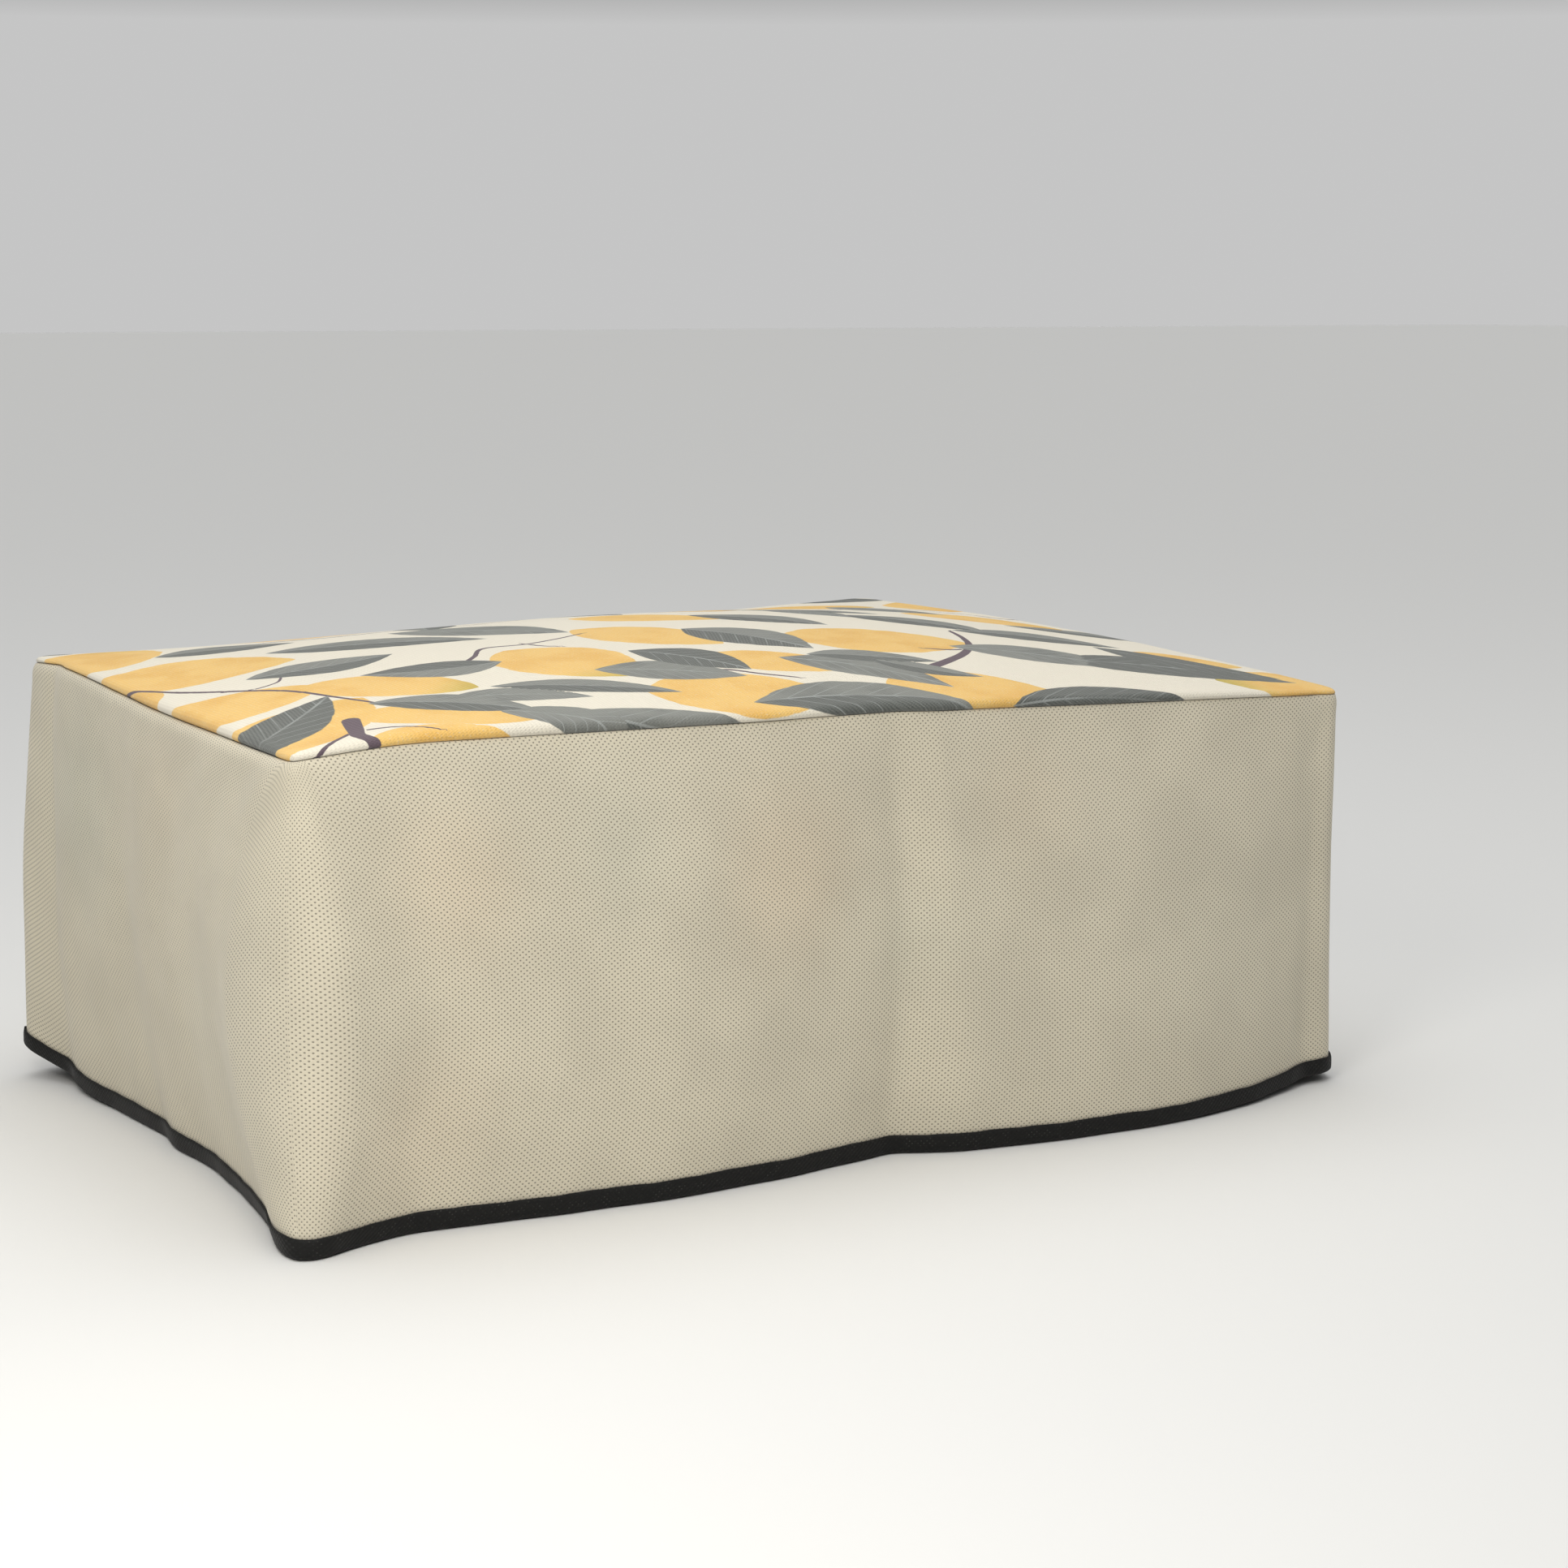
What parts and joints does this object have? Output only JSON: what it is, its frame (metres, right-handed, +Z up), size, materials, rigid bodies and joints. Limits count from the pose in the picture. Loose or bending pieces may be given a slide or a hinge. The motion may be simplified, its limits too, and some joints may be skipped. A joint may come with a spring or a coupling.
{
  "type": "printer cover",
  "caption": "Soft hollow dust cover for a desktop printer: printed top panel, one-piece nonwoven wall and a dark bound hem, open below.",
  "frame": {"origin": "the point of the printer's top that the middle of the top panel rests on, at the underside of the panel's crown", "axes": "+X towards the cover's right, along its long side; +Y towards its back; +Z up, out of the top panel"},
  "size_m": [0.4829, 0.3427, 0.197],
  "materials": {
    "printed_top": "matt woven canvas, printed with a lemon and leaf repeat on cream",
    "wall_nonwoven": "matt beige spunbond nonwoven with small embossed dimples",
    "binding": "matt black nonwoven band"
  },
  "bodies": {
    "root": {"top_panel": "printed_top", "wall_strip": "wall_nonwoven", "hem_binding": "binding"}
  },
  "joints": []
}
